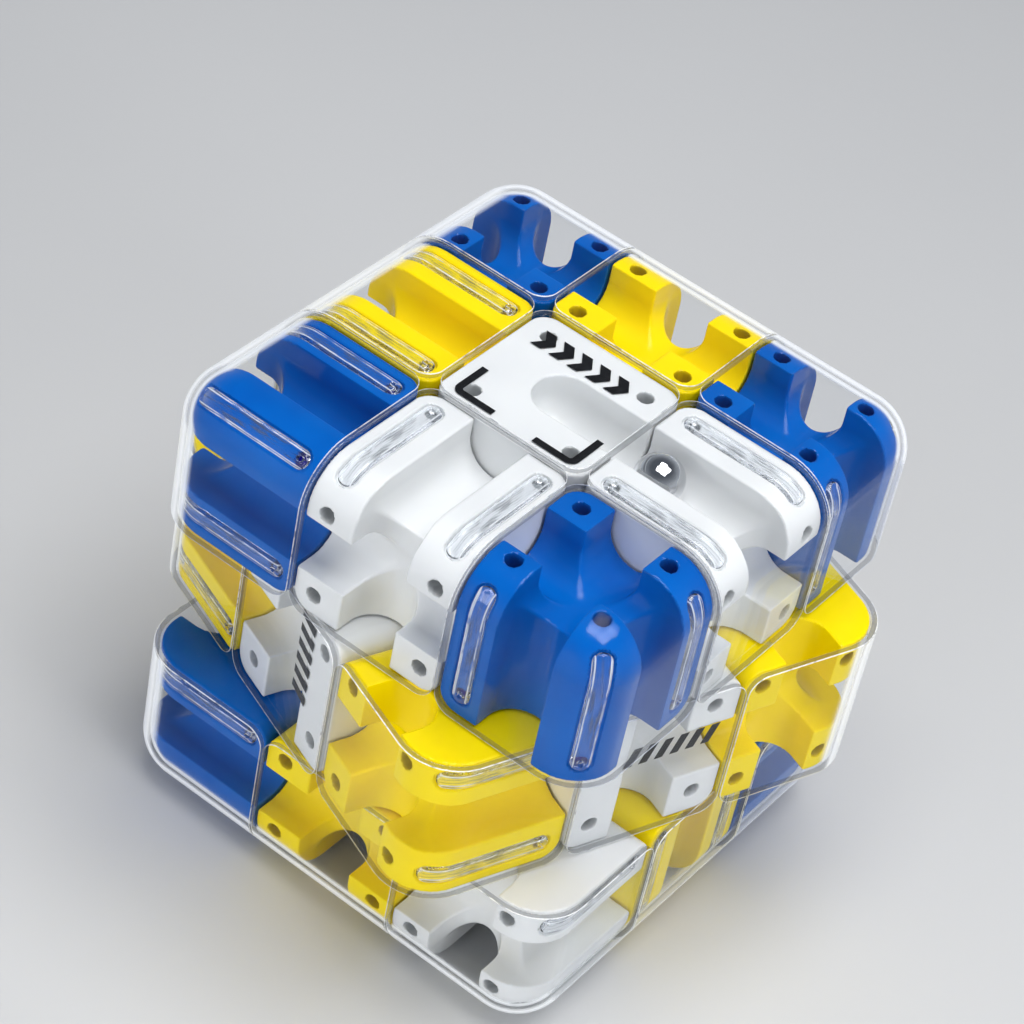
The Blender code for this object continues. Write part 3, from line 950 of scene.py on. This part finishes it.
def bend(corner, first, second, radius, steps=6):
    """Line from first to second by way of a rounded corner."""
    one, two = (first - corner).normalized(), (second - corner).normalized()
    hub = corner + (one + two) * radius
    start, end = corner + one * radius - hub, corner + two * radius - hub
    arc = [hub + (start * math.cos(t) + end * math.sin(t))
           for t in (math.pi / 2 * k / steps for k in range(steps + 1))]
    return [first] + arc + [second]


def slash(low_left, width, height, lean):
    """A leaning bar."""
    x, y = low_left
    return [Vector(c) for c in ((x, y), (x + width, y), (x + width + lean, y + height),
                                (x + lean, y + height))]


def chevron(low_left, width, height, point):
    """An arrow head that points along x."""
    x, y = low_left
    tip = y + height / 2
    return [Vector(c) for c in ((x, y), (x + width, y), (x + width + point, tip),
                                (x + width, y + height), (x, y + height), (x + point, tip))]


def printed(name, shapes, cube):
    """Thin ink pads from outlines in a small cube's own plane, under its cover."""
    bm = bmesh.new()
    level = HALF - COVER_WALL - 2 * PRINT
    for shape in shapes:
        low = [bm.verts.new((p.x, p.y, level)) for p in shape]
        face = bm.faces.new(low)
        top = bmesh.ops.extrude_face_region(bm, geom=[face])["geom"]
        lifted = [v for v in top if isinstance(v, bmesh.types.BMVert)]
        bmesh.ops.translate(bm, verts=lifted, vec=(0, 0, PRINT))
    bmesh.ops.recalc_face_normals(bm, faces=bm.faces)
    bmesh.ops.scale(bm, vec=(MM, MM, MM), verts=bm.verts)
    mesh = bpy.data.meshes.new(name)
    bm.to_mesh(mesh)
    bm.free()
    piece(cube + "_" + name, mesh, [INK], placing(cube)[1], None)


ARROWS, ARROW_PITCH = 5, 3.0
ARROW_SPOT, ARROW_SIZE, ARROW_POINT = (-8.9, 5.1), (1.7, 3.6), 1.2
BRACKET_X, BRACKET_Y, BRACKET_ARM = 9.4, -9.7, 6.1
BRACKET_WIDTH, BRACKET_R = 1.05, 0.9
BARS = 6
LEFT_BARS, LEFT_PITCH, LEFT_SIZE = (-4.0, -5.6), 2.5, (1.3, 3.4, 1.1)
RIGHT_BARS, RIGHT_PITCH, RIGHT_SIZE = (-5.0, 1.4), 2.4, (1.3, 3.2, 1.2)


def row(shape, spot, pitch, count, *sizes):
    """The same outline `count` times, `pitch` apart along x."""
    return [shape((spot[0] + pitch * k, spot[1]), *sizes) for k in range(count)]


def build_prints():
    """Arrows and brackets on the start tile, leaning bars on the two front side centres."""
    arrows = row(chevron, ARROW_SPOT, ARROW_PITCH, ARROWS, *ARROW_SIZE, ARROW_POINT)
    printed("arrows", arrows, "top_centre")
    for side, label in ((-1, "left"), (1, "right")):
        corner = Vector((side * BRACKET_X, BRACKET_Y))
        ends = corner + Vector((-side * BRACKET_ARM, 0)), corner + Vector((0, BRACKET_ARM))
        outline = stroke(bend(corner, *ends, BRACKET_R), BRACKET_WIDTH)
        printed("bracket_" + label, [outline], "top_centre")
    bars = row(slash, LEFT_BARS, LEFT_PITCH, BARS, *LEFT_SIZE)
    printed("bars", bars, "middle_centre_front_left")
    bars = row(slash, RIGHT_BARS, RIGHT_PITCH, BARS, *RIGHT_SIZE)
    turned = [[Vector((-p.y, p.x)) for p in bar][::-1] for bar in bars]
    printed("bars", turned, "middle_centre_front_right")


build_prints()


def build_ball():
    """The steel ball, at its CAD node's place."""
    bm = bmesh.new()
    bmesh.ops.create_icosphere(bm, subdivisions=BALL_ROUNDS, radius=BALL_R * MM)
    mesh = bpy.data.meshes.new("ball")
    bm.to_mesh(mesh)
    bm.free()
    mesh.polygons.foreach_set("use_smooth", [True] * len(mesh.polygons))
    world = Matrix.Translation(centre_of("steel_ball"))
    piece("steel_ball_polished", mesh, [STEEL], world, "steel_ball")


build_ball()
for material_slot in frame["nodes"]["core"].material_slots:
    material_slot.material = GREY


# ---- floor, light and camera, metres ---------------------------------------------------------
FLOOR_REACH, FLOOR_DROP = 3.0, 0.0002
PANE, PANE_GAP, PANE_POWER = 0.20, 0.02, 0.75        # window of four panes overhead
PANE_HUB = Vector((0.10, 0.02, 0.55))
SIDE_BOX, SIDE_SIZE, SIDE_POWER = (0.50, -0.10, 0.20), (0.16, 0.30), 0.8
FRONT_BOX, FRONT_SIZE, FRONT_POWER = (-0.12, -0.60, 0.17), (0.45, 0.22), 1.6
# height of the look on the unit sphere, and the room's colour there
ROOM = ((0.05, (0.56, 0.58, 0.61, 1)), (0.75, (0.10, 0.11, 0.13, 1)), (0.35, (0.34, 0.36, 0.39, 1)))
LENS_MM, SENSOR_MM = 119.2, 36.0
AZIMUTH, ELEVATION, ROLL = math.radians(30.12), math.radians(41.33), math.radians(12.23)
FAR_OFF, SHIFT_RIGHT, SHIFT_UP = 19.033, -0.023, 0.435       # in small cubes' sides


def build_stage():
    mesh = bpy.data.meshes.new("floor")
    reach = FLOOR_REACH
    mesh.from_pydata([(-reach, -reach, 0), (reach, -reach, 0), (reach, reach, 0),
                      (-reach, reach, 0)], [], [(0, 1, 2, 3)])
    floor = bpy.data.objects.new("floor", mesh)
    bpy.context.scene.collection.objects.link(floor)
    floor.location.z = LOW.z - FLOOR_DROP
    mesh.materials.append(ground("pale_floor"))


def lamp(name, spot, aim, size, power, mirrored=True):
    """Rectangular soft light at `spot`, facing `aim`; one that isn't mirrored casts no glare."""
    data = bpy.data.lights.new(name, "AREA")
    data.shape = "RECTANGLE"
    data.size, data.size_y = size
    data.energy = power
    obj = bpy.data.objects.new(name, data)
    bpy.context.scene.collection.objects.link(obj)
    obj.visible_glossy = mirrored
    obj.location = spot
    obj.rotation_euler = (Vector(aim) - Vector(spot)).to_track_quat("-Z", "Y").to_euler()


def build_room():
    """Even grey room, lighter round the horizon than overhead."""
    world = bpy.data.worlds.new("soft_room")
    bpy.context.scene.world = world
    world.use_nodes = True
    tree = world.node_tree
    way = tree.nodes.new("ShaderNodeTexCoord").outputs["Generated"]
    split = tree.nodes.new("ShaderNodeSeparateXYZ")
    tree.links.new(way, split.inputs[0])
    ramp = tree.nodes.new("ShaderNodeValToRGB")
    tree.links.new(split.outputs["Z"], ramp.inputs["Fac"])
    stops = ramp.color_ramp.elements
    low, high, middle = ROOM
    stops[0].position, stops[0].color = low
    stops[1].position, stops[1].color = high
    stops.new(middle[0]).color = middle[1]
    tree.links.new(ramp.outputs["Color"], tree.nodes["Background"].inputs["Color"])


def build_light():
    aim = Vector((0, 0, MID_Z))
    for k in (-1, 1):
        for m in (-1, 1):
            shift = Vector((k, m, 0)) * (PANE + PANE_GAP) / 2
            lamp("pane_%d_%d" % (k + 1, m + 1), PANE_HUB + shift, aim + shift, (PANE, PANE),
                 PANE_POWER)
    lamp("side_box", SIDE_BOX, aim, SIDE_SIZE, SIDE_POWER, False)
    lamp("front_box", FRONT_BOX, aim, FRONT_SIZE, FRONT_POWER, False)
    bpy.context.scene.view_settings.view_transform = "Standard"


def build_camera():
    """Seen from above the front corner, the picture tipped a little."""
    data = bpy.data.cameras.new("camera")
    data.sensor_width = SENSOR_MM
    data.lens = LENS_MM
    cam = bpy.data.objects.new("camera", data)
    bpy.context.scene.collection.objects.link(cam)
    away = Vector((math.sin(AZIMUTH) * math.cos(ELEVATION),
                   -math.cos(AZIMUTH) * math.cos(ELEVATION), math.sin(ELEVATION)))
    right = Vector((math.cos(AZIMUTH), math.sin(AZIMUTH), 0))
    tipped = right * math.cos(ROLL) + away.cross(right) * math.sin(ROLL)
    over = away.cross(tipped)
    offset = FAR_OFF * away + SHIFT_RIGHT * tipped + SHIFT_UP * over
    spot = Vector((0, 0, MID_Z)) + offset * PITCH
    cam.matrix_world = Matrix.Translation(spot) @ turn_from(tipped, over, away).to_4x4()
    bpy.context.scene.camera = cam


build_stage()
build_room()
build_light()
build_camera()
